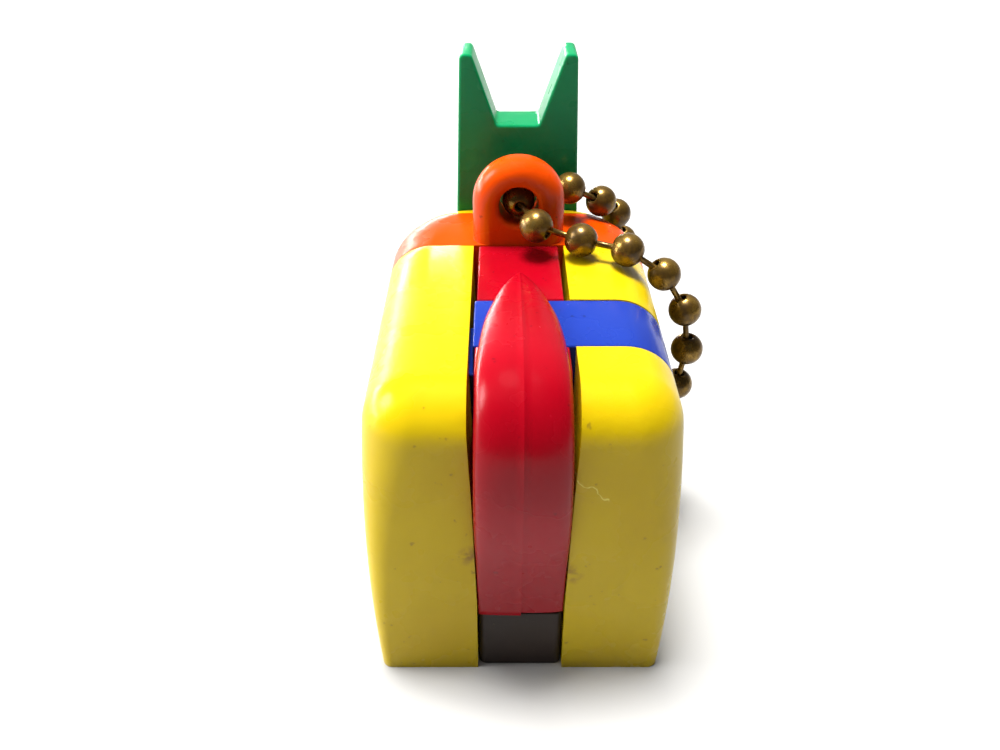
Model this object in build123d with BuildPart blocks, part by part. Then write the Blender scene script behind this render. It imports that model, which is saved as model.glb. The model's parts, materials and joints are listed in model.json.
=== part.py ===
"""An interlocking puzzle keychain: seven moulded plastic pieces and a ball chain.

Millimetres, +Z up, origin under the middle of the standing puzzle. The rounded nose of the
centre plate points to -Y, and the plate with the two ears stands at the +Y end.

Two side blocks hold a centre plate between them. The plate's tongue runs back through the
loop bar's stem and the ear plate's stem, which locks both down. A square key bar crosses the
plate and locks it in turn: it slides out to +X, and frees the rest.
"""

from build123d import *
from math import radians, tan
import os

os.makedirs("parts", exist_ok=True)

# ---------------------------------------------------------------- driving dimensions
body_width = 19.9         # at mid-height, where the blocks swell most
foot_width = 18.9
top_width = 18.9
body_length = 29.5
body_height = 22.2
bar_side = 5.7            # side of the square key bar and of the loop bar
gap = 0.08                # between pieces that touch
front = -14.25            # the side blocks' front face
far_reach = 60.0          # past everything, for cuts that go right through

# the envelope that all the flush pieces share
swell_height = 11.0
front_corner_low = 0.7    # upright front edges, at the foot
front_corner_mid = 1.8    # at mid-height
front_corner_high = 4.0   # and where they run into the rounded top
rear_corner = 7.0         # upright rear edges
shoulder = 3.4            # the top edge all round

# the slot between the side blocks opens upwards: half width at each height
slot_walls = [(2.87, 0), (2.87, 6.5), (3.1, 15.3), (3.3, 20.0), (3.3, body_height + 1)]

# the centre plate tapers the same way
plate_walls = [(2.78, 0), (2.9, 11.0), (2.9, body_height + 4)]
plate_bottom = 5.15
mould_step = 0.3          # the plate's right half stops this much higher
plate_end = front + 20.15
tongue_half_width = 1.6
tongue_low, tongue_high = 8.0, 13.0
rear_end = front + 29.35

# cross bars
key_front = front + 6.3
bar_bottom = body_height - bar_side
key_left = -3.05
tenon_left = -7.0
tenon_top = 20.1
loop_front = front + 20.25
stem_half_width = 2.6
stem_bottom = 6.5
leg_side = 2.6
leg_offset = 6.3
leg_bottom = 12.5

# the eyelet on the loop bar
eyelet_half_width = 3.35
eyelet_thickness = 2.95
eye_height = body_height + 2.95
eye_radius = 1.44
eyelet_round = 1.3
eye_round = 0.4

# the ear plate
ear_front = front + 26.9
ear_thickness = 3.5
wing_half_width = 4.78
wing_bottom = 11.1
ear_top = 34.2
notch_floor = 28.95
ear_stem_front = front + 26.1
ear_stem_half_width = 2.75

# the lower bar
lower_front = front + 0.3
lower_half_width = 2.8
lower_top = 5.05
lug_half_width = 5.2
lug_front, lug_rear = front + 12.0, front + 18.0
lug_top = 3.0

# the ball chain
ball_radius = 1.2
ball_wall = 0.25
ball_count = 30
hole_radius = 0.34
pin_radius = 0.22
pin_head_radius = 0.4
pin_head_inset = 0.5      # from a ball's centre to the pin head's centre
connector_balls = (13, 14)
connector_radius = 1.65
connector_wall = 0.3
connector_length = 7.4
connector_neck = 0.75

# the chain's route, from the eyelet down the right side, round on the floor behind and back
# up over the rear corner: (x, distance behind the front face, height)
chain_route = [
    (0.0, 21.7, 25.15),
    (0.6, 18.0, 24.7),
    (4.1, 18.6, 23.4),
    (7.5, 16.8, 23.8),
    (11.1, 17.3, 21.0),
    (13.0, 17.0, 16.6),
    (12.1, 17.6, 10.4),
    (12.1, 18.8, 4.2),
    (11.4, 21.8, 1.2),
    (12.3, 26.4, 1.3),
    (12.9, 30.0, 1.65),
    (13.0, 34.0, 1.65),
    (12.0, 38.0, 1.2),
    (8.4, 40.6, 1.2),
    (4.4, 39.4, 1.2),
    (3.4, 36.2, 1.2),
    (5.8, 33.2, 1.2),
    (8.3, 31.2, 2.4),
    (8.9, 30.4, 7.0),
    (9.2, 29.9, 13.4),
    (8.9, 29.3, 20.4),
    (6.2, 25.1, 23.8),
    (4.7, 24.3, 24.9),
    (1.1, 25.7, 24.9),
    (0.0, 24.2, 25.1),
    (0.0, 21.8, 25.15),
]


# ---------------------------------------------------------------- shared shapes
def cuboid(low, high, mode=Mode.ADD):
    """Add, cut or keep the box between two opposite corners."""
    low, high = Vector(*low), Vector(*high)
    size = high - low
    with Locations((low + high) / 2):
        Box(size.X, size.Y, size.Z, mode=mode)


with BuildPart() as envelope:
    for height, width, front_corner in (
        (0, foot_width, front_corner_low),
        (swell_height, body_width, front_corner_mid),
        (body_height, top_width, front_corner_high),
    ):
        with BuildSketch(Plane.XY.offset(height)) as plan:
            with Locations((0, front + body_length / 2)):
                Rectangle(width, body_length)
            fillet(plan.vertices().group_by(Axis.Y)[-1], radius=rear_corner)
            fillet(plan.vertices().group_by(Axis.Y)[0], radius=front_corner)
    loft()
    fillet(envelope.faces().sort_by(Axis.Z)[-1].edges(), radius=shoulder)


# ---------------------------------------------------------------- side blocks
def side_block(side):
    """The yellow block on one side: side is 1 on the right and -1 on the left."""
    with BuildPart() as block:
        add(envelope.part)
        with BuildSketch(Plane.XZ):
            with BuildLine():
                wall = [(side * x, z) for x, z in slot_walls]
                outside = [(side * far_reach, body_height + 1), (side * far_reach, 0)]
                Polyline(*wall, *outside, close=True)
            make_face()
        extrude(amount=far_reach, both=True, mode=Mode.INTERSECT)
        # the loop bar's groove and the pocket for its leg
        cuboid(
            (-far_reach, loop_front - gap, bar_bottom - gap),
            (far_reach, loop_front + bar_side + gap, body_height + 1),
            Mode.SUBTRACT,
        )
        leg_reach = leg_side / 2 + gap
        leg_middle = loop_front + bar_side / 2
        cuboid(
            (side * leg_offset - leg_reach, leg_middle - leg_reach, leg_bottom - gap),
            (side * leg_offset + leg_reach, leg_middle + leg_reach, bar_bottom),
            Mode.SUBTRACT,
        )
        # the recess for the ear plate's wing, open to the rear
        cuboid(
            (-wing_half_width - gap, ear_front - gap, wing_bottom - gap),
            (wing_half_width + gap, far_reach, body_height + 1),
            Mode.SUBTRACT,
        )
        # the pocket in the underside for the lower bar's lug
        cuboid(
            (-lug_half_width - gap, lug_front - gap, -1),
            (lug_half_width + gap, lug_rear + gap, lug_top + gap),
            Mode.SUBTRACT,
        )
        # the key bar's open groove on the right, and its tenon's blind pocket on the left
        if side > 0:
            key_space = (0, far_reach, body_height + 1)
        else:
            key_space = (tenon_left - gap, 0, tenon_top + gap)
        cuboid(
            (key_space[0], key_front - gap, bar_bottom - gap),
            (key_space[1], key_front + bar_side + gap, key_space[2]),
            Mode.SUBTRACT,
        )
    return block.part


# ---------------------------------------------------------------- centre plate
# cross-sections of the rounded nose, from its foot up over the brow to its point on the top:
# (distance behind the front face, height, lean back of the outward direction in degrees,
# half width, rise of the arch)
nose_sections = [
    (0.25, plate_bottom, 0, 2.78, 0.2),
    (0.05, 9.0, 2, 2.84, 0.5),
    (-0.35, 13.4, 4, 2.97, 0.95),
    (-0.45, 16.8, 8, 2.95, 1.15),
    (0.05, 19.3, 25, 2.92, 1.25),
    (1.3, 21.1, 50, 2.88, 1.3),
    (3.2, 22.0, 75, 2.84, 1.3),
    (5.8, body_height, 88, 2.7, 1.25),
    (8.6, body_height, 93, 2.42, 1.1),
    (10.8, body_height, 97, 1.95, 0.95),
    (12.6, body_height, 100, 1.42, 0.8),
    (14.2, body_height, 101, 0.75, 0.6),
    (15.3, body_height, 102, 0.1, 0.35),
]
nose_root = 1.2           # how deep each cross-section reaches into the plate
arch_power = 2.6          # a superellipse: 2 is an ellipse, and more is a squarer arch
arch_places = (-1, -0.94, -0.78, -0.45, 0, 0.45, 0.78, 0.94, 1)   # parts of the half width
brow_start = 3.5          # where the plate's flat top begins, behind the front face

with BuildPart() as nose:
    for behind, height, lean, half_width, rise in nose_sections:
        outward = Vector(0, -1, 0).rotate(Axis.X, -lean)
        across = Vector(1, 0, 0)
        with BuildSketch(Plane((0, front + behind, height), across, across.cross(outward))):
            with BuildLine():
                arch = [
                    (half_width * t, rise * (1 - abs(t) ** arch_power) ** (1 / arch_power))
                    for t in arch_places
                ]
                Spline(*arch, tangents=[(0, 1), (0, -1)])
                Polyline(
                    (half_width, 0),
                    (half_width, -nose_root),
                    (-half_width, -nose_root),
                    (-half_width, 0),
                )
            make_face()
    loft()

with BuildPart() as centre_plate:
    with BuildSketch(Plane.YZ):
        with BuildLine():
            inside_nose = [(front + y + nose_root / 2, z) for y, z, *_ in nose_sections[:5]]
            Polyline(
                *inside_nose,
                (front + brow_start, body_height),
                (plate_end, body_height),
                (plate_end, tongue_high),
                (plate_end, plate_bottom),
                close=True,
            )
        make_face()
    extrude(amount=far_reach, both=True)
    with BuildSketch(Plane.XZ):
        with BuildLine():
            right_wall = plate_walls
            left_wall = [(-x, z) for x, z in reversed(plate_walls)]
            Polyline(*right_wall, *left_wall, close=True)
        make_face()
    extrude(amount=far_reach, both=True, mode=Mode.INTERSECT)
    add(nose.part)
    cuboid(
        (-tongue_half_width, plate_end - 1, tongue_low),
        (tongue_half_width, rear_end, tongue_high),
    )
    # the window that the key bar passes through
    cuboid(
        (-far_reach, key_front - gap, bar_bottom - gap),
        (far_reach, key_front + bar_side + gap, body_height + gap),
        Mode.SUBTRACT,
    )
    # the mould halves meet with a small step along the foot
    cuboid(
        (0, front - 5, 0),
        (far_reach, plate_end + 1, plate_bottom + mould_step),
        Mode.SUBTRACT,
    )

# ---------------------------------------------------------------- key bar
with BuildPart() as key_bar:
    add(envelope.part)
    cuboid(
        (key_left, key_front, bar_bottom),
        (far_reach, key_front + bar_side, body_height + 1),
        Mode.INTERSECT,
    )
    cuboid((tenon_left, key_front, bar_bottom), (key_left, key_front + bar_side, tenon_top))

# ---------------------------------------------------------------- loop bar
with BuildPart() as cross_bar:
    add(envelope.part)
    cuboid(
        (-far_reach, loop_front, bar_bottom),
        (far_reach, loop_front + bar_side, body_height + 1),
        Mode.INTERSECT,
    )

with BuildPart() as loop_bar:
    with BuildSketch(Plane.XZ.offset(-loop_front)):
        with BuildLine():
            low = bar_bottom + 1
            Line((-eyelet_half_width, low), (-eyelet_half_width, eye_height))
            ThreePointArc(
                (-eyelet_half_width, eye_height),
                (0, eye_height + eyelet_half_width),
                (eyelet_half_width, eye_height),
            )
            Line((eyelet_half_width, eye_height), (eyelet_half_width, low))
            Line((eyelet_half_width, low), (-eyelet_half_width, low))
        make_face()
    extrude(amount=-eyelet_thickness)
    rims = loop_bar.edges().filter_by(Axis.Y, reverse=True)
    fillet(rims.filter_by(lambda e: e.center().Z > bar_bottom + 2), radius=eyelet_round)
    with Locations(Location((0, loop_front, eye_height), (90, 0, 0))):
        Cylinder(eye_radius, far_reach, mode=Mode.SUBTRACT)
    eye_edges = loop_bar.edges().filter_by(GeomType.CIRCLE).filter_by(
        lambda e: abs(e.radius - eye_radius) < 0.01
    )
    fillet(eye_edges, radius=eye_round)
    # the bar itself, with ends that follow the body
    add(cross_bar.part)
    # the stem with the tongue's window, and a leg down into each side block
    cuboid(
        (-stem_half_width, loop_front, stem_bottom),
        (stem_half_width, loop_front + bar_side, bar_bottom),
    )
    leg_middle = loop_front + bar_side / 2
    with Locations((-leg_offset, leg_middle), (leg_offset, leg_middle)):
        with Locations((0, 0, (leg_bottom + bar_bottom) / 2)):
            Box(leg_side, leg_side, bar_bottom - leg_bottom)
    cuboid(
        (-tongue_half_width - gap, loop_front - 1, tongue_low - gap),
        (tongue_half_width + gap, loop_front + bar_side + 1, tongue_high + gap),
        Mode.SUBTRACT,
    )

# ---------------------------------------------------------------- ear plate
# the right half of its outline, from the wing up over the ear and down into the notch
ear_outline = [
    (wing_half_width, wing_bottom),
    (wing_half_width, body_height),
    (4.35, ear_top),
    (3.45, ear_top),
    (1.6, notch_floor),
]
ear_tip_round = 0.4
notch_round = 0.3
ear_edge = 0.2

with BuildPart() as ear_plate:
    with BuildSketch(Plane.XZ.offset(-ear_front)) as ears:
        with BuildLine():
            left_half = [(-x, z) for x, z in reversed(ear_outline)]
            Polyline(*ear_outline, *left_half, close=True)
        make_face()
        fillet(ears.vertices().filter_by(lambda v: v.Y > ear_top - 0.1), radius=ear_tip_round)
        fillet(
            ears.vertices().filter_by(lambda v: abs(v.Y - notch_floor) < 0.1), radius=notch_round
        )
    extrude(amount=-ear_thickness)
    upright_faces = ear_plate.faces().filter_by(Axis.Y)
    fillet(upright_faces.edges(), radius=ear_edge)
    cuboid(
        (-ear_stem_half_width, ear_stem_front, plate_bottom),
        (ear_stem_half_width, rear_end, body_height - ear_edge),
    )
    cuboid(
        (-tongue_half_width - gap, ear_stem_front - 1, tongue_low - gap),
        (tongue_half_width + gap, far_reach, tongue_high + gap),
        Mode.SUBTRACT,
    )

# ---------------------------------------------------------------- lower bar
lower_edge = 0.5
with BuildPart() as lower_bar:
    cuboid((-lower_half_width, lower_front, 0), (lower_half_width, rear_end, lower_top))
    fillet(lower_bar.edges().filter_by(Axis.Z), radius=lower_edge)
    cuboid((-lug_half_width, lug_front, 0), (lug_half_width, lug_rear, lug_top))

# ---------------------------------------------------------------- ball chain
route_points = [Vector(x, front + behind, z) for x, behind, z in chain_route]
radii = []
for before, corner, after in zip(route_points, route_points[1:], route_points[2:]):
    run_in, run_out = corner - before, after - corner
    turn = run_in.get_angle(run_out)
    radii.append(0.45 * min(run_in.length, run_out.length) / tan(radians(turn) / 2))
print("chain bend radii", [round(r, 1) for r in radii])
with BuildLine() as route:
    FilletPolyline(*route_points, radius=radii)
route_wire = route.wires()[0]
ball_pitch = route_wire.length / ball_count
print("chain length", round(route_wire.length, 1), "pitch", round(ball_pitch, 2))
ball_places = [
    route_wire.position_at(i * ball_pitch, position_mode=PositionMode.LENGTH)
    for i in range(ball_count)
]


def pin_between(start, end):
    """One dumbbell pin from inside the ball at start to inside the ball at end."""
    along = (end - start).normalized()
    middle = (start + end) / 2
    sideways = Plane(middle, z_dir=along).x_dir
    half_span = (end - start).length / 2 - pin_head_inset
    neck = (pin_head_radius**2 - pin_radius**2) ** 0.5
    with BuildPart() as pin:
        with BuildSketch(Plane(middle, x_dir=sideways, z_dir=sideways.cross(along))):
            with BuildLine():
                ThreePointArc(
                    (0, half_span + pin_head_radius),
                    (pin_head_radius, half_span),
                    (pin_radius, half_span - neck),
                )
                Line((pin_radius, half_span - neck), (pin_radius, neck - half_span))
                ThreePointArc(
                    (pin_radius, neck - half_span),
                    (pin_head_radius, -half_span),
                    (0, -half_span - pin_head_radius),
                )
                Line((0, -half_span - pin_head_radius), (0, half_span + pin_head_radius))
            make_face()
        revolve(axis=Axis(middle, along))
    return pin.part


def ball_at(place, neighbours):
    """One hollow ball, with a hole towards each neighbour that it is pinned to."""
    hole_plane = Plane(place, z_dir=neighbours[0] - place)
    # the spheres' poles and seam lie crosswise, clear of the holes
    crosswise = Plane(place, x_dir=hole_plane.x_dir, z_dir=hole_plane.y_dir)
    with BuildPart() as ball:
        with Locations(crosswise):
            Sphere(ball_radius)
            Sphere(ball_radius - ball_wall, mode=Mode.SUBTRACT)
        for neighbour in neighbours:
            toward = (neighbour - place).normalized()
            with Locations(Plane(place, z_dir=toward)):
                Cylinder(
                    hole_radius,
                    2 * ball_radius,
                    align=(Align.CENTER, Align.CENTER, Align.MIN),
                    mode=Mode.SUBTRACT,
                )
    return ball.part


pins = []
for i in range(ball_count):
    if i != connector_balls[0]:
        pins.append(pin_between(ball_places[i], ball_places[(i + 1) % ball_count]))
balls = []
for i, place in enumerate(ball_places):
    neighbours = []
    if i != connector_balls[1]:
        neighbours.append(ball_places[i - 1])
    if i != connector_balls[0]:
        neighbours.append(ball_places[(i + 1) % ball_count])
    balls.append(ball_at(place, neighbours))

connector_start, connector_end = (ball_places[i] for i in connector_balls)
connector_axis = Plane(
    (connector_start + connector_end) / 2, z_dir=connector_end - connector_start
)
with BuildPart(connector_axis) as connector:
    Cylinder(connector_radius, connector_length)
    fillet(connector.edges(), radius=1.0)
    Cylinder(
        connector_radius - connector_wall,
        connector_length - 2 * connector_wall,
        mode=Mode.SUBTRACT,
    )
    Cylinder(connector_neck, connector_length + 1, mode=Mode.SUBTRACT)

# ---------------------------------------------------------------- write the pieces
pieces = {
    "left_block": side_block(-1),
    "right_block": side_block(1),
    "centre_plate": centre_plate.part,
    "key_bar": key_bar.part,
    "loop_bar": loop_bar.part,
    "ear_plate": ear_plate.part,
    "lower_bar": lower_bar.part,
    "chain_pins": Compound(children=pins),
    "chain_connector": connector.part,
}
for i, ball in enumerate(balls):
    pieces[f"chain_ball_{i + 1:02d}"] = ball
for label, piece in pieces.items():
    piece.label = label
    export_step(piece, f"parts/{label}.step")
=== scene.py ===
"""The looks of an interlocking puzzle keychain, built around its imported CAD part.

Metres, +Z up, the origin under the middle of the puzzle, the rounded nose towards -Y.
"""

import bisect
import json
import math

import bmesh
import bpy
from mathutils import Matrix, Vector


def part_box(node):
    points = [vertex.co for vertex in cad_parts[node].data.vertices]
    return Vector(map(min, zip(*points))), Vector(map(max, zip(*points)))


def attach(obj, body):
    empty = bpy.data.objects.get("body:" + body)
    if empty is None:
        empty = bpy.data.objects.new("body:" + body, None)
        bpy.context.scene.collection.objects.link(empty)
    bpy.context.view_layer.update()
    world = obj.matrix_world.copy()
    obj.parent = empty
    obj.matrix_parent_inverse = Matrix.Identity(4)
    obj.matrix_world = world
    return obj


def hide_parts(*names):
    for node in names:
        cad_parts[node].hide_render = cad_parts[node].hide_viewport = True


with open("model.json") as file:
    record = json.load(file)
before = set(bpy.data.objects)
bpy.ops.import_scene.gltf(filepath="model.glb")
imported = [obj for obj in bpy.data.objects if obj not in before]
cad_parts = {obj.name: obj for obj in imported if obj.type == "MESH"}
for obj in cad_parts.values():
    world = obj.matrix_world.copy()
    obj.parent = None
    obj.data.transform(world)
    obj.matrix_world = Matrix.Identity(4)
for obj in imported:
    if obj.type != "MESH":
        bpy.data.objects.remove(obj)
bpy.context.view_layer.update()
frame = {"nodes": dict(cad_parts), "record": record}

MM = 0.001
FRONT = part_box("left_block")[0].y          # the side blocks' front face


# ---------------------------------------------------------------- materials
def linear(red, green, blue):
    """A colour given in sRGB from 0 to 255, as Blender's linear RGBA."""
    def channel(value):
        value /= 255
        return value / 12.92 if value <= 0.04045 else ((value + 0.055) / 1.055) ** 2.4

    return (channel(red), channel(green), channel(blue), 1.0)


class Shader:
    """A new material with short calls for its nodes."""

    def __init__(self, name):
        self.material = bpy.data.materials.new(name)
        self.material.use_nodes = True
        self.tree = self.material.node_tree
        self.surface = self.tree.nodes["Principled BSDF"]
        self.place = self.add("ShaderNodeTexCoord").outputs["Object"]

    def add(self, kind, **settings):
        node = self.tree.nodes.new(kind)
        for key, value in settings.items():
            setattr(node, key, value)
        return node

    def link(self, output, target):
        self.tree.links.new(output, target)

    def set(self, **values):
        for key, value in values.items():
            self.surface.inputs[key.replace("_", " ")].default_value = value

    def stretched(self, scale):
        """The piece's own coordinates, times a factor for each axis."""
        node = self.add("ShaderNodeMapping")
        node.inputs["Scale"].default_value = scale
        self.link(self.place, node.inputs["Vector"])
        return node.outputs["Vector"]

    def noise(self, scale, detail=4.0, rough=0.55, place=None):
        node = self.add("ShaderNodeTexNoise")
        node.inputs["Scale"].default_value = scale
        node.inputs["Detail"].default_value = detail
        node.inputs["Roughness"].default_value = rough
        self.link(place or self.place, node.inputs["Vector"])
        return node.outputs["Fac"]

    def ramp(self, factor, stops):
        """A colour ramp: stops are (position, colour)."""
        node = self.add("ShaderNodeValToRGB")
        node.color_ramp.interpolation = "B_SPLINE"
        ends = node.color_ramp.elements
        while len(ends) < len(stops):
            ends.new(0.5)
        for end, (position, colour) in zip(ends, stops):
            end.position = position
            end.color = colour
        self.link(factor, node.inputs["Fac"])
        return node.outputs["Color"]

    def span(self, factor, low, high, to_low, to_high):
        """The factor's range from low to high, moved to another range and held there."""
        node = self.add("ShaderNodeMapRange")
        for key, value in zip(("From Min", "From Max", "To Min", "To Max"), (low, high, to_low, to_high)):
            node.inputs[key].default_value = value
        self.link(factor, node.inputs["Value"])
        return node.outputs["Result"]

    def mix(self, factor, first, second, blend="MIX"):
        """Two colours mixed: each is a colour or a node's output."""
        node = self.add("ShaderNodeMix", data_type="RGBA", blend_type=blend)
        for key, value in (("Factor", factor), ("A", first), ("B", second)):
            socket = next(s for s in node.inputs if s.name == key and s.type == (
                "VALUE" if key == "Factor" else "RGBA"))
            if isinstance(value, bpy.types.NodeSocket):
                self.link(value, socket)
            else:
                socket.default_value = value
        return next(s for s in node.outputs if s.type == "RGBA")

    def maths(self, operation, first, second):
        node = self.add("ShaderNodeMath", operation=operation)
        for socket, value in zip(node.inputs, (first, second)):
            if isinstance(value, bpy.types.NodeSocket):
                self.link(value, socket)
            else:
                socket.default_value = value
        return node.outputs["Value"]

    def bump(self, height, distance):
        node = self.add("ShaderNodeBump")
        node.inputs["Distance"].default_value = distance
        self.link(height, node.inputs["Height"])
        return node.outputs["Normal"]


def smudge(shader, colour, place, reach, tone):
    """A patchy stain round one place on the piece."""
    apart = shader.add("ShaderNodeVectorMath", operation="DISTANCE")
    apart.inputs[1].default_value = place
    shader.link(shader.place, apart.inputs[0])
    near = shader.span(apart.outputs["Value"], 0.2 * reach, reach, 0.7, 0.0)
    patchy = shader.span(shader.noise(1800, 3.0), 0.42, 0.60, 0.0, 1.0)
    return shader.mix(shader.maths("MULTIPLY", near, patchy), colour, tone)


def hairline(shader, colour, start, tilt, length, tone):
    """A fine wandering crack in the front face, from its start down to the right."""
    local = shader.add("ShaderNodeMapping", vector_type="TEXTURE")
    local.inputs["Location"].default_value = start
    local.inputs["Rotation"].default_value = (0, tilt, 0)
    shader.link(shader.place, local.inputs["Vector"])
    split = shader.add("ShaderNodeSeparateXYZ")
    shader.link(local.outputs["Vector"], split.inputs["Vector"])
    along, _, across = split.outputs
    wander = shader.span(shader.noise(900, 2.0), 0.3, 0.7, -0.22 * MM, 0.22 * MM)
    off_line = shader.maths("ABSOLUTE", shader.maths("ADD", across, wander), 0)
    thin = shader.span(off_line, 0.02 * MM, 0.05 * MM, 0.8, 0.0)
    inside = shader.span(shader.maths("ABSOLUTE", shader.maths("SUBTRACT", along, length / 2), 0),
                         0.45 * length, 0.5 * length, 1.0, 0.0)
    return shader.mix(shader.maths("MULTIPLY", thin, inside), colour, tone)


def moulded_plastic(name, deep, body, bright, roughness, grime, glow=0.08, marks=()):
    """Old glossy moulded plastic: cloudy colour, specks, scratches, dull patches and its own marks.

    Each mark is a function followed by what it needs after the shader and the colour.
    """
    shader = Shader(name)
    clouds = shader.noise(120, 2.0, 0.4)
    colour = shader.ramp(clouds, [(0.2, deep), (0.5, body), (0.8, bright)])
    # small specks of grime
    specks = shader.noise(1500, 2.0, 0.5)
    speck_mask = shader.span(specks, 0.70, 0.76, 0.0, 0.55)
    colour = shader.mix(speck_mask, colour, grime)
    for mark, *where in marks:
        colour = mark(shader, colour, *where)
    shader.link(colour, shader.surface.inputs["Base Color"])
    # hairline scratches in two directions, and soft dull patches
    scratch_a = shader.noise(700, 2.0, 0.6, shader.stretched((0.06, 1.0, 2.6)))
    scratch_b = shader.noise(620, 2.0, 0.6, shader.stretched((2.4, 1.2, 0.05)))
    scratches = shader.maths("MAXIMUM", scratch_a, scratch_b)
    worn = shader.span(scratches, 0.74, 0.80, 0.0, 0.072)
    dull = shader.span(shader.noise(240, 3.0), 0.3, 0.75, roughness - 0.04, roughness + 0.10)
    shader.link(shader.maths("ADD", dull, worn), shader.surface.inputs["Roughness"])
    ripple = shader.noise(420, 2.0, 0.4)
    shader.link(shader.bump(ripple, 0.00003), shader.surface.inputs["Normal"])
    shader.set(Subsurface_Weight=glow, Subsurface_Scale=0.0012, Specular_IOR_Level=0.2)
    shader.surface.inputs["Subsurface Radius"].default_value = (1.0, 0.7, 0.4)
    return shader.material


def aged_brass():
    """Old plated brass: bare metal where it is rubbed, brown and dull where it isn't."""
    shader = Shader("chain_brass")
    patina = shader.noise(900, 6.0, 0.65)
    colour = shader.ramp(patina, [
        (0.30, linear(50, 35, 14)),
        (0.48, linear(90, 67, 25)),
        (0.66, linear(146, 114, 46)),
        (0.80, linear(188, 162, 98)),
    ])
    shader.link(colour, shader.surface.inputs["Base Color"])
    shader.link(shader.span(patina, 0.35, 0.7, 0.45, 0.85), shader.surface.inputs["Metallic"])
    shader.link(shader.span(patina, 0.3, 0.8, 0.32, 0.22), shader.surface.inputs["Roughness"])
    pits = shader.noise(4200, 3.0, 0.6)
    shader.link(shader.bump(pits, 0.00001), shader.surface.inputs["Normal"])
    return shader.material


def white_paper():
    """The pale surface that the keychain stands on."""
    shader = Shader("floor_white")
    tone = shader.noise(6, 3.0)
    colour = shader.ramp(tone, [(0.3, (0.42, 0.42, 0.42, 1)), (0.7, (0.45, 0.45, 0.447, 1))])
    shader.link(colour, shader.surface.inputs["Base Color"])
    shader.link(shader.span(tone, 0.3, 0.7, 0.55, 0.65), shader.surface.inputs["Roughness"])
    return shader.material


PLASTICS = {
    "yellow_plastic": moulded_plastic(
        "moulded_yellow", linear(184, 154, 6), linear(190, 164, 8), linear(198, 172, 14),
        0.26, linear(120, 90, 30),
        marks=[
            (smudge, (3.0 * MM, FRONT, 9.0 * MM), 1.1 * MM, linear(120, 76, 34)),
            (smudge, (-3.2 * MM, FRONT, 10.6 * MM), 1.0 * MM, linear(120, 76, 34)),
            (hairline, (3.0 * MM, FRONT, 16.9 * MM), math.radians(38), 2.8 * MM, linear(236, 224, 120)),
        ],
    ),
    "red_plastic": moulded_plastic(
        "moulded_red", linear(134, 2, 16), linear(144, 3, 20), linear(154, 5, 26),
        0.24, linear(84, 6, 18),
    ),
    "blue_plastic": moulded_plastic(
        "moulded_blue", linear(16, 38, 122), linear(24, 47, 134), linear(32, 57, 146),
        0.22, linear(12, 20, 66),
    ),
    "orange_plastic": moulded_plastic(
        "moulded_orange", linear(194, 56, 1), linear(202, 63, 2), linear(210, 73, 4),
        0.26, linear(100, 34, 6),
    ),
    "green_plastic": moulded_plastic(
        "moulded_green", linear(4, 118, 68), linear(8, 128, 77), linear(18, 138, 86),
        0.26, linear(0, 50, 30), glow=0.25,
    ),
    "black_plastic": moulded_plastic(
        "moulded_black", linear(38, 30, 26), linear(48, 38, 33), linear(58, 47, 41),
        0.42, linear(84, 70, 60),
    ),
}


# ---------------------------------------------------------------- plastic pieces
EDGE_ANGLE = math.radians(32)        # a sharper turn than this is an edge and gets rounded
FLAT_ANGLE = math.radians(0.5)       # faces that meet at less than this become one
WELD_REACH = 0.002 * MM              # the CAD mesh's loose corners closer than this are welded


def new_object(name, mesh, material):
    mesh.materials.append(material)
    piece = bpy.data.objects.new(name, mesh)
    bpy.context.scene.collection.objects.link(piece)
    return piece


def round_edges(piece, width):
    """Round every edge that turns by more than the shallow steps of a curved face."""
    rounding = piece.modifiers.new("edges", "BEVEL")
    rounding.width = width
    rounding.segments = 3
    rounding.limit_method = "ANGLE"
    rounding.angle_limit = EDGE_ANGLE
    rounding.use_clamp_overlap = True
    rounding.harden_normals = True


def stand_for(piece, node):
    """The piece rides on the CAD node's body and is shown in its place."""
    body = next(b for b, nodes in frame["record"]["behaviour"]["bodies"].items() if node in nodes)
    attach(piece, body)
    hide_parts(node)


def rounded_piece(node, name, slot, edge):
    """A piece with the CAD node's shape, its sharp edges rounded as a mould rounds them."""
    mesh = frame["nodes"][node].data.copy()
    mesh.name = name
    shape = bmesh.new()
    shape.from_mesh(mesh)
    bmesh.ops.remove_doubles(shape, verts=shape.verts, dist=WELD_REACH)
    bmesh.ops.dissolve_limit(shape, angle_limit=FLAT_ANGLE, verts=shape.verts, edges=shape.edges)
    shape.to_mesh(mesh)
    shape.free()
    mesh.materials.clear()
    mesh.shade_smooth()
    piece = new_object(name, mesh, PLASTICS[slot])
    round_edges(piece, edge)
    stand_for(piece, node)


PIECES = [
    # CAD node, piece, material slot, edge rounding
    ("left_block", "block_left", "yellow_plastic", 0.22 * MM),
    ("right_block", "block_right", "yellow_plastic", 0.22 * MM),
    ("key_bar", "sliding_key", "blue_plastic", 0.16 * MM),
    ("loop_bar", "eyelet_bar", "orange_plastic", 0.16 * MM),
    ("ear_plate", "ears", "green_plastic", 0.10 * MM),
    ("lower_bar", "floor_bar", "black_plastic", 0.12 * MM),
]
for cad_node, piece_name, slot_name, edge_width in PIECES:
    rounded_piece(cad_node, piece_name, slot_name, edge_width)


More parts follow.
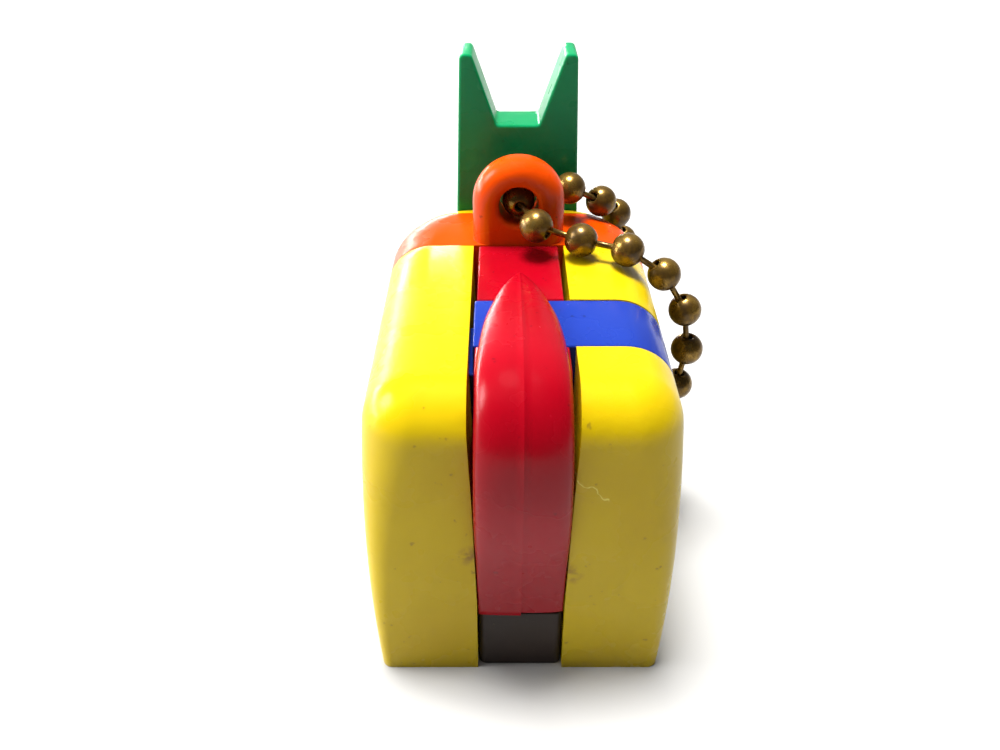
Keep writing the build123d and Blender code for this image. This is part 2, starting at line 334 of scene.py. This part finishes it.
# ---------------------------------------------------------------- centre plate with its nose
# sizes here are in millimetres, and places along the plate are distances behind the front face
BODY_TOP = 22.2
PLATE_BOTTOM = 5.15
PLATE_HALF_WIDTH = 2.9
PLATE_TOP_START = 3.5                # where its flat top begins, under the nose's brow
PLATE_END = 20.15
PLATE_EDGE = 0.13
TONGUE_HALF_WIDTH = 1.6
TONGUE_LOW, TONGUE_HIGH = 8.0, 13.0
TONGUE_ROOT = 1.0                    # how far the tongue reaches into the plate
KEY_GAP = 0.08                       # round the key bar, in the notch
NOSE_ROOT = 1.2                      # how far the nose reaches into the plate
NOSE_EDGE_ANGLE = 36                 # degrees: a sharper turn than this shades as an edge
ARCH_POWER = 2.6                     # 2 is an ellipse, and more is squarer
ARCH_STEPS = 28
ROWS_PER_SPAN = 6
SEAM_HALF_WIDTH = 0.07
MOULD_STEP = 0.3                     # the right half of the nose's foot ends this much higher

# the nose's cross-sections, from its foot over the brow to its tip: (distance behind the front
# face, height, lean back in degrees, half width, rise of the arch)
NOSE_SECTIONS = [
    (0.25, PLATE_BOTTOM, 0, 2.78, 0.2),
    (0.05, 9.0, 2, 2.84, 0.5),
    (-0.35, 13.4, 4, 2.97, 0.95),
    (-0.45, 16.8, 8, 2.95, 1.15),
    (0.05, 19.3, 25, 2.92, 1.25),
    (1.3, 21.1, 50, 2.88, 1.3),
    (3.2, 22.0, 75, 2.84, 1.3),
    (5.8, BODY_TOP, 88, 2.7, 1.25),
    (8.6, BODY_TOP, 93, 2.42, 1.1),
    (10.8, BODY_TOP, 97, 1.95, 0.95),
    (12.6, BODY_TOP, 100, 1.42, 0.8),
    (14.2, BODY_TOP, 101, 0.75, 0.6),
    (15.3, BODY_TOP, 102, 0.1, 0.35),
]


def between(rows, i, t):
    """A smooth (Catmull-Rom) step from rows[i] to rows[i + 1]."""
    a, b, c, d = (rows[min(max(k, 0), len(rows) - 1)] for k in (i - 1, i, i + 1, i + 2))
    return [
        0.5 * (2 * q + (r - p) * t + (2 * p - 5 * q + 4 * r - s) * t**2 + (3 * q - p - 3 * r + s) * t**3)
        for p, q, r, s in zip(a, b, c, d)
    ]


def ring_faces(shape, rings):
    """Join closed rings of points into a skin, with a face over each end."""
    for low, high in zip(rings, rings[1:]):
        for i in range(len(low)):
            j = (i + 1) % len(low)
            shape.faces.new((low[i], low[j], high[j], high[i]))
    shape.faces.new(rings[0][::-1])
    shape.faces.new(rings[-1])
    bmesh.ops.recalc_face_normals(shape, faces=shape.faces)


def nose_arch(half_width, rise):
    """Points across the arch from left to right, with the mould's fine seam down the middle."""
    seam = min(SEAM_HALF_WIDTH, half_width / 8)
    points = []
    for i in range(ARCH_STEPS + 1):
        if i == ARCH_STEPS // 2:
            points += [(-1.2 * seam, rise), (-0.4 * seam, rise + seam / 2)]
            points += [(0.4 * seam, rise + seam / 2), (1.2 * seam, rise)]
            continue
        angle = math.pi * (1 - i / ARCH_STEPS)
        x = half_width * math.copysign(abs(math.cos(angle)) ** (2 / ARCH_POWER), math.cos(angle))
        points.append((x, rise * abs(math.sin(angle)) ** (2 / ARCH_POWER)))
    return points


def nose_shape():
    rows = []
    for i in range(len(NOSE_SECTIONS) - 1):
        rows += [between(NOSE_SECTIONS, i, k / ROWS_PER_SPAN) for k in range(ROWS_PER_SPAN)]
    rows.append(NOSE_SECTIONS[-1])
    shape = bmesh.new()
    rings = []
    for behind, height, lean, half_width, rise in rows:
        base = Vector((0, FRONT + behind * MM, height * MM))
        outward = Vector((0, -math.cos(math.radians(lean)), math.sin(math.radians(lean))))
        across = Vector((1, 0, 0))
        outline = nose_arch(half_width, rise)
        outline += [(half_width, -NOSE_ROOT), (-half_width, -NOSE_ROOT)]
        rings.append([shape.verts.new(base + (across * x + outward * z) * MM) for x, z in outline])
    ring_faces(shape, rings)
    return shape


def slab(outline, half_width):
    """A flat solid with that side outline of (y, z) points, centred on the middle plane."""
    shape = bmesh.new()
    rings = [[shape.verts.new((x, y, z)) for y, z in outline] for x in (-half_width, half_width)]
    ring_faces(shape, rings)
    return shape


def plate_shapes():
    """The plate behind the nose, with the notch for the key bar, and its tongue."""
    key_low, key_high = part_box("key_bar")
    tongue_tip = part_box("centre_plate")[1].y
    gap = KEY_GAP * MM
    top = BODY_TOP * MM
    plate_end = FRONT + PLATE_END * MM
    tongue_start = plate_end - TONGUE_ROOT * MM
    inside_nose = [
        (FRONT + (behind + NOSE_ROOT / 2) * MM, height * MM) for behind, height, *_ in NOSE_SECTIONS[:5]
    ]
    side = [
        *inside_nose,
        (FRONT + PLATE_TOP_START * MM, top),
        (key_low.y - gap, top),
        (key_low.y - gap, key_low.z - gap),
        (key_high.y + gap, key_low.z - gap),
        (key_high.y + gap, top),
        (plate_end, top),
        (plate_end, PLATE_BOTTOM * MM),
    ]
    tongue = [
        (tongue_start, TONGUE_LOW * MM),
        (tongue_tip, TONGUE_LOW * MM),
        (tongue_tip, TONGUE_HIGH * MM),
        (tongue_start, TONGUE_HIGH * MM),
    ]
    return slab(side, PLATE_HALF_WIDTH * MM), slab(tongue, TONGUE_HALF_WIDTH * MM)


def step_cutter():
    """A block under the right half, cut away to leave the small step at the nose's foot."""
    width, length, height = 5 * MM, 60 * MM, 6 * MM
    top = (PLATE_BOTTOM + MOULD_STEP) * MM
    shape = bmesh.new()
    bmesh.ops.create_cube(shape, size=1)
    for vert in shape.verts:
        x, y, z = vert.co
        vert.co = ((x + 0.5) * width, FRONT + y * length, top + (z - 0.5) * height)
    return shape


def red_solid(name, shape):
    mesh = bpy.data.meshes.new(name)
    shape.to_mesh(mesh)
    shape.free()
    return new_object(name, mesh, PLASTICS["red_plastic"])


def combine(piece, operation, other):
    """Add the other solid to the piece, or cut it away."""
    step = piece.modifiers.new(operation, "BOOLEAN")
    step.operation = operation
    step.solver = "EXACT"
    step.object = other


def nose_plate():
    """The red plate: its flat body, the tongue and the long rounded nose as one solid."""
    body, tongue = plate_shapes()
    plate = red_solid("nose_plate", body)
    round_edges(plate, PLATE_EDGE * MM)
    parts = [
        ("UNION", red_solid("tongue", tongue)),
        ("UNION", red_solid("nose", nose_shape())),
        ("DIFFERENCE", red_solid("mould_step", step_cutter())),
    ]
    for operation, other in parts:
        combine(plate, operation, other)
    graph = bpy.context.evaluated_depsgraph_get()
    mesh = bpy.data.meshes.new_from_object(plate.evaluated_get(graph))
    plate.modifiers.clear()
    plate.data = mesh
    mesh.shade_smooth()
    mesh.set_sharp_from_angle(angle=math.radians(NOSE_EDGE_ANGLE))
    for _, other in parts:
        bpy.data.objects.remove(other)
    stand_for(plate, "centre_plate")


nose_plate()


# ---------------------------------------------------------------- ball chain
BALL_COUNT = 30
BALL_RADIUS = 1.2 * MM
BALL_WALL = 0.22 * MM
HOLE_RADIUS = 0.36 * MM
PIN_RADIUS = 0.22 * MM
PIN_HEAD = 0.42 * MM
PIN_INSET = 0.5 * MM
CONNECTOR_BALLS = (13, 14)           # the connector closes the loop between these two
SHELL_RADIUS = 1.65 * MM
SHELL_WALL = 0.28 * MM
SHELL_BEND = 0.9 * MM                # the rounding at each end of the shell
SHELL_HALF_LENGTH = 3.7 * MM
SHELL_NECK = 0.75 * MM
BALL_STEPS, PIN_STEPS, SHELL_STEPS = 36, 16, 48

# the route from the eyelet down the right side, round on the floor behind and back up over the
# rear corner: (x, distance behind the front face, height), in millimetres
CHAIN_ROUTE = [
    (0.0, 21.7, 25.15),
    (0.6, 18.0, 24.7),
    (4.1, 18.6, 23.4),
    (7.5, 16.8, 23.8),
    (11.1, 17.3, 21.0),
    (13.0, 17.0, 16.6),
    (12.1, 17.6, 10.4),
    (12.1, 18.8, 4.2),
    (11.4, 21.8, 1.2),
    (12.3, 26.4, 1.3),
    (12.9, 30.0, 1.65),
    (13.0, 34.0, 1.65),
    (12.0, 38.0, 1.2),
    (8.4, 40.6, 1.2),
    (4.4, 39.4, 1.2),
    (3.4, 36.2, 1.2),
    (5.8, 33.2, 1.2),
    (8.3, 31.2, 2.4),
    (8.9, 30.4, 7.0),
    (9.2, 29.9, 13.4),
    (8.9, 29.3, 20.4),
    (6.2, 25.1, 23.8),
    (4.7, 24.3, 24.9),
    (1.1, 25.7, 24.9),
    (0.0, 24.2, 25.1),
    (0.0, 21.8, 25.15),
]


def smooth_line(route):
    """The points of the smooth NURBS line with the route's points as its control points."""
    curve = bpy.data.curves.new("chain_line", "CURVE")
    curve.dimensions = "3D"
    spline = curve.splines.new("NURBS")
    spline.points.add(len(route) - 1)
    for point, (x, behind, z) in zip(spline.points, route):
        point.co = (x * MM, FRONT + behind * MM, z * MM, 1.0)
    spline.order_u = 3
    spline.use_endpoint_u = True
    spline.resolution_u = 16
    holder = bpy.data.objects.new("chain_line", curve)
    mesh = bpy.data.meshes.new_from_object(holder)
    line = [v.co.copy() for v in mesh.vertices]
    bpy.data.meshes.remove(mesh)
    bpy.data.objects.remove(holder)
    bpy.data.curves.remove(curve)
    return line


def distances(line):
    """How far along the line each of its points is."""
    along = [0.0]
    for before, after in zip(line, line[1:]):
        along.append(along[-1] + (after - before).length)
    return along


def place_at(line, along, distance):
    """The point that far along the line."""
    i = min(max(bisect.bisect_right(along, distance), 1), len(line) - 1)
    share = (distance - along[i - 1]) / (along[i] - along[i - 1])
    return line[i - 1].lerp(line[i], share)


def turned(shape, profile, centre, axis, steps):
    """A closed profile of (radius, height along the axis) points, turned about the axis."""
    axis = axis.normalized()
    side = axis.orthogonal().normalized()
    other = axis.cross(side)
    rings = []
    for radius, height in profile:
        if radius == 0:
            rings.append([shape.verts.new(centre + axis * height)])
            continue
        ring = []
        for i in range(steps):
            angle = 2 * math.pi * i / steps
            out = side * math.cos(angle) + other * math.sin(angle)
            ring.append(shape.verts.new(centre + axis * height + out * radius))
        rings.append(ring)
    pairs = list(zip(rings, rings[1:]))
    if profile[0][0] > 0:
        pairs.append((rings[-1], rings[0]))
    for low, high in pairs:
        for i in range(steps):
            j = (i + 1) % steps
            if len(low) == 1:
                shape.faces.new((low[0], high[j], high[i]))
            elif len(high) == 1:
                shape.faces.new((low[i], low[j], high[0]))
            else:
                shape.faces.new((low[i], low[j], high[j], high[i]))


def arc(radius, start, end, count, height=0.0):
    """Points of an arc about (0, height): angles in degrees from the equator to the pole."""
    angles = [math.radians(start + (end - start) * i / (count - 1)) for i in range(count)]
    return [(radius * math.cos(a), height + radius * math.sin(a)) for a in angles]


def ball_profile():
    """A hollow ball with a hole at each pole, whose rim is rounded into the hole."""
    outer_edge = math.degrees(math.acos(1.25 * HOLE_RADIUS / BALL_RADIUS))
    inner = BALL_RADIUS - BALL_WALL
    inner_edge = math.degrees(math.acos(1.1 * HOLE_RADIUS / inner))
    rim = (BALL_RADIUS + inner) / 2 * 0.97
    return [
        *arc(BALL_RADIUS, -outer_edge, outer_edge, 23),
        (HOLE_RADIUS, rim),
        *arc(inner, inner_edge, -inner_edge, 13),
        (HOLE_RADIUS, -rim),
    ]


def pin_profile(span):
    """A dumbbell pin of that length between the middles of its two heads."""
    half = span / 2
    neck = math.degrees(math.asin(PIN_RADIUS / PIN_HEAD))
    low = arc(PIN_HEAD, -90, 90 - neck, 7, -half)
    high = arc(PIN_HEAD, neck - 90, 90, 7, half)
    return [(0, -half - PIN_HEAD), *low[1:], *high[:-1], (0, half + PIN_HEAD)]


def ball_chain(line):
    """Every ball and pin of the chain as one mesh along the line."""
    along = distances(line)
    pitch = along[-1] / BALL_COUNT
    places = [place_at(line, along, i * pitch) for i in range(BALL_COUNT)]
    shape = bmesh.new()
    for i, place in enumerate(places):
        ahead = places[(i + 1) % BALL_COUNT]
        turned(shape, ball_profile(), place, ahead - places[i - 1], BALL_STEPS)
        if i != CONNECTOR_BALLS[0]:
            link = ahead - place
            pin = pin_profile(link.length - 2 * PIN_INSET)
            turned(shape, pin, (place + ahead) / 2, link, PIN_STEPS)
    mesh = bpy.data.meshes.new("ball_chain")
    shape.to_mesh(mesh)
    shape.free()
    mesh.shade_smooth()
    return new_object("ball_chain", mesh, BRASS), places, along[-1]


def connector_shell(places):
    """The chain's connector, a rolled sleeve round two balls."""
    start, end = (places[i] for i in CONNECTOR_BALLS)

    def skin(inset):
        """One side of the sleeve's wall, that far in from its outside."""
        radius = SHELL_RADIUS - inset
        corner = SHELL_BEND - inset
        half = SHELL_HALF_LENGTH - inset
        return [
            (SHELL_NECK, -half),
            *[(radius - corner + x, y - half + corner) for x, y in arc(corner, -90, 0, 6)],
            *[(radius - corner + x, y + half - corner) for x, y in arc(corner, 0, 90, 6)],
            (SHELL_NECK, half),
        ]

    shape = bmesh.new()
    turned(shape, skin(0) + skin(SHELL_WALL)[::-1], (start + end) / 2, end - start, SHELL_STEPS)
    mesh = bpy.data.meshes.new("connector_shell")
    shape.to_mesh(mesh)
    shape.free()
    mesh.shade_smooth()
    return new_object("connector_shell", mesh, BRASS)


BRASS = aged_brass()
chain_line = smooth_line(CHAIN_ROUTE)
chain, ball_places, chain_length = ball_chain(chain_line)
connector = connector_shell(ball_places)
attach(chain, "chain")
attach(connector, "chain")
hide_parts("chain_pins", *[f"chain_ball_{i + 1:02d}" for i in range(BALL_COUNT)])
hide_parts("chain_connector")


# ---------------------------------------------------------------- floor, light and camera
OVERHEAD = (-0.04, 0.07, 0.58)       # where the strong light comes from
BODY_MIDDLE = (0, 0, 0.018)
DAYLIGHT = (1.0, 0.99, 0.98)
WARM_WHITE = (1.0, 0.98, 0.95)
GOLDEN = (1.0, 0.94, 0.80)


def floor():
    shape = bmesh.new()
    bmesh.ops.create_grid(shape, x_segments=24, y_segments=24, size=1.5)
    mesh = bpy.data.meshes.new("floor")
    shape.to_mesh(mesh)
    shape.free()
    new_object("floor", mesh, white_paper())


def area_light(name, place, target, size, power, colour, shows=True, only=()):
    """A soft panel of (width, height) that faces the target.

    One that doesn't show lights the pieces but isn't seen in their gloss. One that has pieces in
    only does the opposite, and only for them.
    """
    data = bpy.data.lights.new(name, "AREA")
    data.shape = "RECTANGLE"
    data.size, data.size_y = size
    data.energy = power
    data.color = colour
    light = bpy.data.objects.new(name, data)
    light.location = place
    light.rotation_euler = (Vector(target) - Vector(place)).to_track_quat("-Z", "Y").to_euler()
    light.visible_glossy = shows
    if only:
        light.visible_diffuse = False
        lit = bpy.data.collections.new(name)
        for piece in only:
            lit.objects.link(piece)
        light.light_linking.receiver_collection = lit
    bpy.context.scene.collection.objects.link(light)


def camera():
    data = bpy.data.cameras.new("camera")
    data.lens = 33.2
    data.sensor_width = 36
    data.clip_start = 0.005
    data.clip_end = 10
    eye = bpy.data.objects.new("camera", data)
    eye.location = (-1.36 * MM, FRONT - 41.55 * MM, 52.19 * MM)
    eye.rotation_euler = (math.radians(56.1), 0, 0)
    bpy.context.scene.collection.objects.link(eye)
    bpy.context.scene.camera = eye


def studio_world():
    """Soft white surroundings behind the object, and a dim room in front of it."""
    world = bpy.data.worlds.new("studio")
    world.use_nodes = True
    tree = world.node_tree
    direction = tree.nodes.new("ShaderNodeTexCoord").outputs["Generated"]
    split = tree.nodes.new("ShaderNodeSeparateXYZ")
    tree.links.new(direction, split.inputs["Vector"])
    strength = tree.nodes.new("ShaderNodeMapRange")
    strength.interpolation_type = "SMOOTHSTEP"
    for key, value in (("From Min", -0.1), ("From Max", 0.6), ("To Min", 0.07), ("To Max", 0.35)):
        strength.inputs[key].default_value = value
    tree.links.new(split.outputs["Y"], strength.inputs["Value"])
    background = tree.nodes["Background"]
    background.inputs["Color"].default_value = (0.97, 0.98, 1.0, 1.0)
    tree.links.new(strength.outputs["Result"], background.inputs["Strength"])
    bpy.context.scene.world = world


floor()
area_light("ceiling", OVERHEAD, (0, 0, 0), (0.20, 0.20), 8.5, (1.0, 0.99, 0.97), shows=False)
area_light("sky", (-0.12, 0.02, 0.62), (0, 0, 0), (0.52, 0.52), 1.4, WARM_WHITE, shows=False)
area_light("window_side", (-0.39, 0.16, 0.06), BODY_MIDDLE, (0.40, 0.035), 1.6, DAYLIGHT)
area_light("window_back", (-0.17, 0.40, 0.06), BODY_MIDDLE, (0.34, 0.02), 0.9, DAYLIGHT)
area_light("window_high", (-0.40, 0.02, 0.26), (0, 0, 0.02), (0.18, 0.18), 1.9, DAYLIGHT)
area_light("chain_sparkle", OVERHEAD, (0, 0, 0), (0.10, 0.10), 14, GOLDEN, only=(chain, connector))
camera()
studio_world()
bpy.context.scene.view_settings.view_transform = "Standard"
